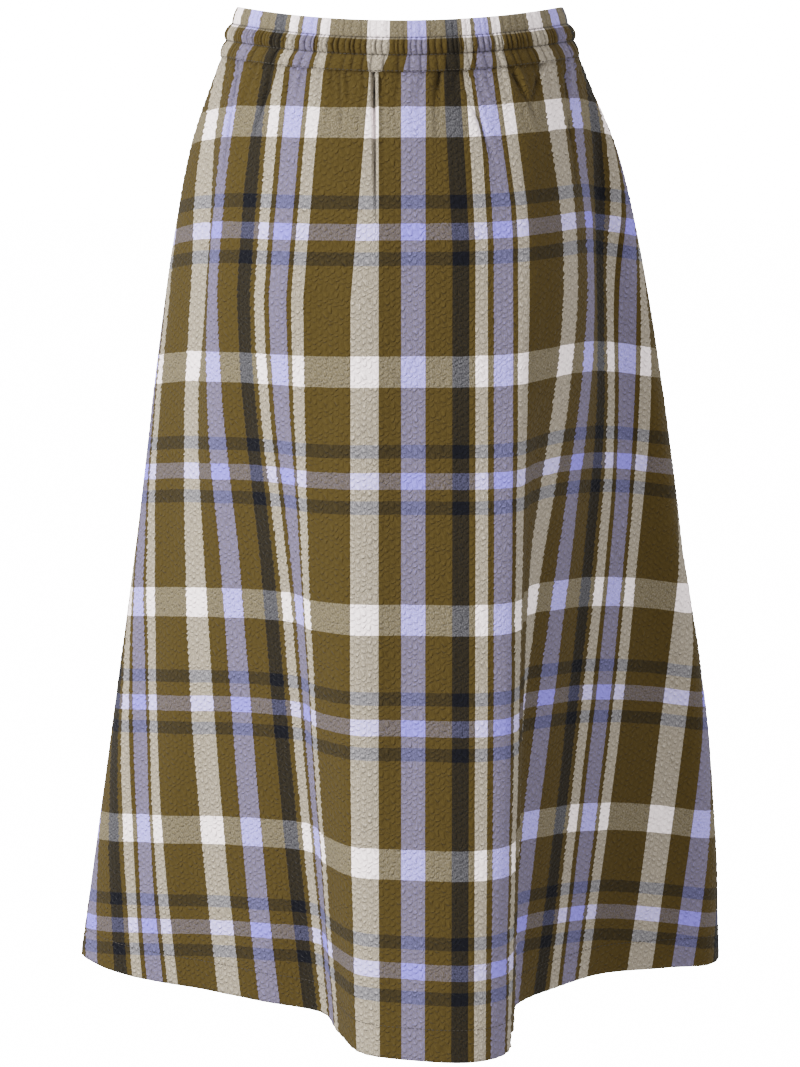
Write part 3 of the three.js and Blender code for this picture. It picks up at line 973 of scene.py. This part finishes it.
STITCH_PITCH, STITCH_LENGTH, STITCH_THICK = 3.1, 2.3, 0.55
STITCH_UNEVEN = (0.88, 1.08)  # the smallest and largest stitch, as shares of the plain one
STITCH_SEED = 11
STITCH_LIFT = 0.25  # how far the stitches' middles stand off the cloth
BAND_STITCHES = (1 / 3, 2 / 3, 0.975)  # where the stitch lines run, as shares of the way down the waistband


def stitch_nodes(thread):
    """A tree that lays rounded stitches end to end along the edges of a mesh."""
    group = bpy.data.node_groups.new("running stitches", "GeometryNodeTree")
    group.interface.new_socket("Geometry", in_out="INPUT", socket_type="NodeSocketGeometry")
    for name in ("Pitch", "Length", "Thickness"):
        group.interface.new_socket(name, in_out="INPUT", socket_type="NodeSocketFloat")
    group.interface.new_socket("Seed", in_out="INPUT", socket_type="NodeSocketInt")
    group.interface.new_socket("Geometry", in_out="OUTPUT", socket_type="NodeSocketGeometry")
    tree = Tree(group.nodes, group.links)

    def given(name):
        return tree.add("NodeGroupInput", {}, {}, output=name)

    path = tree.add("GeometryNodeMeshToCurve", {}, {"Mesh": given("Geometry")})
    spaced = {"Curve": path, "Length": given("Pitch")}
    places = tree.add("GeometryNodeResampleCurve", {"mode": "LENGTH"}, spaced)
    along = tree.add("GeometryNodeInputTangent", {}, {})
    turn = tree.add("FunctionNodeAlignRotationToVector", {"axis": "Z"}, {"Vector": along})
    bead = tree.add("GeometryNodeMeshUVSphere", {}, {"Segments": 6, "Rings": 5, "Radius": 0.5})
    thick = given("Thickness")
    size = tree.add("ShaderNodeCombineXYZ", {}, {0: thick, 1: thick, 2: given("Length")})
    stitch = tree.add("GeometryNodeTransform", {}, {"Geometry": bead, "Scale": size})
    least, most = STITCH_UNEVEN
    sizes = {2: least, 3: most, "Seed": given("Seed")}
    uneven = tree.add("FunctionNodeRandomValue", {"data_type": "FLOAT"}, sizes, output=1)
    row = tree.add(
        "GeometryNodeInstanceOnPoints",
        {},
        {"Points": places, "Instance": stitch, "Rotation": turn, "Scale": uneven},
    )
    real = tree.add("GeometryNodeRealizeInstances", {}, {"Geometry": row})
    sewn = tree.add("GeometryNodeSetMaterial", {}, {"Geometry": real, "Material": thread})
    tree.add("NodeGroupOutput", {}, {"Geometry": sewn})
    return group


def stitches(name, lines, thread):
    """One mesh of stitches along several lines of places."""
    points = np.concatenate(lines)
    edges, first = [], 0
    for line in lines:
        edges += [(place, place + 1) for place in range(first, first + len(line) - 1)]
        first += len(line)
    paths = bpy.data.meshes.new(f"{name} paths")
    paths.from_pydata((points * MM).tolist(), edges, [])
    made = bpy.data.objects.new(name, paths)
    bpy.context.scene.collection.objects.link(made)
    group = stitch_nodes(thread)
    modifier = made.modifiers.new("stitches", "NODES")
    modifier.node_group = group
    values = {
        "Pitch": STITCH_PITCH * MM,
        "Length": STITCH_LENGTH * MM,
        "Thickness": STITCH_THICK * MM,
        "Seed": STITCH_SEED,
    }
    for socket in group.interface.items_tree:
        if socket.in_out == "INPUT" and socket.name in values:
            modifier[socket.identifier] = values[socket.name]
    ready = made.evaluated_get(bpy.context.evaluated_depsgraph_get())
    made.data = bpy.data.meshes.new_from_object(ready)
    made.modifiers.clear()
    return made


# ---------------------------------------------------------------------------------------------------------
# Studio, camera and the pieces put in place of the imported parts
# ---------------------------------------------------------------------------------------------------------

CAMERA_AWAY = 2.0  # metres from the waist's middle to the camera
CAMERA_UP = -0.008  # metres above the waist's middle
CAMERA_PITCH = 10.84  # degrees below the horizon
FOCAL_PIXELS = 2530.0  # focal length in pixels of an 800 by 1067 image
IMAGE_HEIGHT = 1067.0

# Light and stage: places and sizes in metres, the lamp's power in watts.
WORLD_LIGHT = 1.2
KEY_PLACE, KEY_TARGET = (-2.52, -1.77, 1.0), (0.0, 0.0, -0.4)
KEY_SIZE, KEY_POWER = 0.9, 180.0
FLOOR_HEIGHT, STAGE_REACH = -1.05, 14.0
FLOOR_COLOUR, FLOOR_GLOW, DOME_GLOW = 0.5, 14.0, 16.0


def camera():
    """A long lens in front of the waist that looks slightly down."""
    data = bpy.data.cameras.new("camera")
    data.sensor_width = 36.0
    data.lens = FOCAL_PIXELS / IMAGE_HEIGHT * data.sensor_width
    made = bpy.data.objects.new("camera", data)
    made.location = (0.0, -CAMERA_AWAY, CAMERA_UP)
    made.rotation_euler = (math.radians(90.0 - CAMERA_PITCH), 0.0, 0.0)
    bpy.context.scene.collection.objects.link(made)
    bpy.context.scene.camera = made


def studio():
    """Even light from all round, with one large lamp to the front and left."""
    bpy.context.scene.view_settings.view_transform = "Filmic"
    world = bpy.data.worlds.new("world")
    world.use_nodes = True
    world.node_tree.nodes["Background"].inputs["Color"].default_value = (1.0, 1.0, 1.0, 1.0)
    world.node_tree.nodes["Background"].inputs["Strength"].default_value = WORLD_LIGHT
    bpy.context.scene.world = world

    data = bpy.data.lights.new("key", "AREA")
    data.shape = "DISK"
    data.size = KEY_SIZE
    data.energy = KEY_POWER
    made = bpy.data.objects.new("key", data)
    made.location = KEY_PLACE
    aim = np.array(KEY_TARGET) - np.array(KEY_PLACE)
    made.rotation_euler = Vector(aim).to_track_quat("-Z", "Y").to_euler()
    bpy.context.scene.collection.objects.link(made)


def stage():
    """A pale round floor under a pale dome, which light nothing and cast no shadow."""
    turns = np.radians(np.arange(0, 360, 5))
    count = len(turns)
    lifts = np.radians(np.arange(0, 90, 6))
    points = [
        (
            STAGE_REACH * math.cos(lift) * math.cos(turn),
            STAGE_REACH * math.cos(lift) * math.sin(turn),
            FLOOR_HEIGHT + STAGE_REACH * math.sin(lift),
        )
        for lift in lifts
        for turn in turns
    ]
    last = count * (len(lifts) - 1)
    faces = []
    for low in range(0, last, count):
        for step in range(count):
            corner, beside = low + step, low + (step + 1) % count
            faces.append((corner, beside, beside + count, corner + count))
    faces.append([last + step for step in range(count)])
    for name, places, polygons, colour, glow in (
        ("floor", points[:count], [list(range(count))], FLOOR_COLOUR, FLOOR_GLOW),
        ("dome", points, faces, 0.0, DOME_GLOW),
    ):
        mesh = bpy.data.meshes.new(name)
        mesh.from_pydata(places, [], polygons)
        made = bpy.data.objects.new(name, mesh)
        bpy.context.scene.collection.objects.link(made)
        material, tree = new_material(f"pale {name}")
        finish_material(
            tree,
            {
                "Base Color": (colour, colour, colour, 1.0),
                "Roughness": 0.9,
                "Specular IOR Level": 0.0,
                "Emission Color": (1.0, 1.0, 1.0, 1.0),
                "Emission Strength": glow,
            },
        )
        mesh.materials.append(material)
        made.visible_diffuse = made.visible_glossy = made.visible_shadow = False


camera()
studio()
stage()

panel_cloth = seersucker("panel seersucker", WEFT_START, PANEL_PUCKER)
band_cloth = seersucker("waistband seersucker", BAND_WEFT_START, BAND_PUCKER)
(front_cloth, back_cloth), (front_panel, back_panel) = panels(panel_cloth)
(front_band, front_strip), (back_band, back_strip) = bands(band_cloth, front_panel, back_panel)

stitch_lines = []
for strip in (front_strip, back_strip):
    stitch_lines += [strip.line(share, STITCH_LIFT) for share in BAND_STITCHES]
for panel in (front_panel, back_panel):
    stitch_lines.append(panel.line(panel.length[-1] - HEM_TURN, STITCH_LIFT))
stitching = stitches("stitching", stitch_lines, plain_thread("olive thread", THREAD_COLOUR))

for piece, node in (
    (front_cloth, "front_panel"),
    (back_cloth, "back_panel"),
    (front_band, "waistband_front"),
    (back_band, "waistband_back"),
):
    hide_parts(node)
for piece in (front_cloth, back_cloth, front_band, back_band, stitching):
    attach(piece, "root")
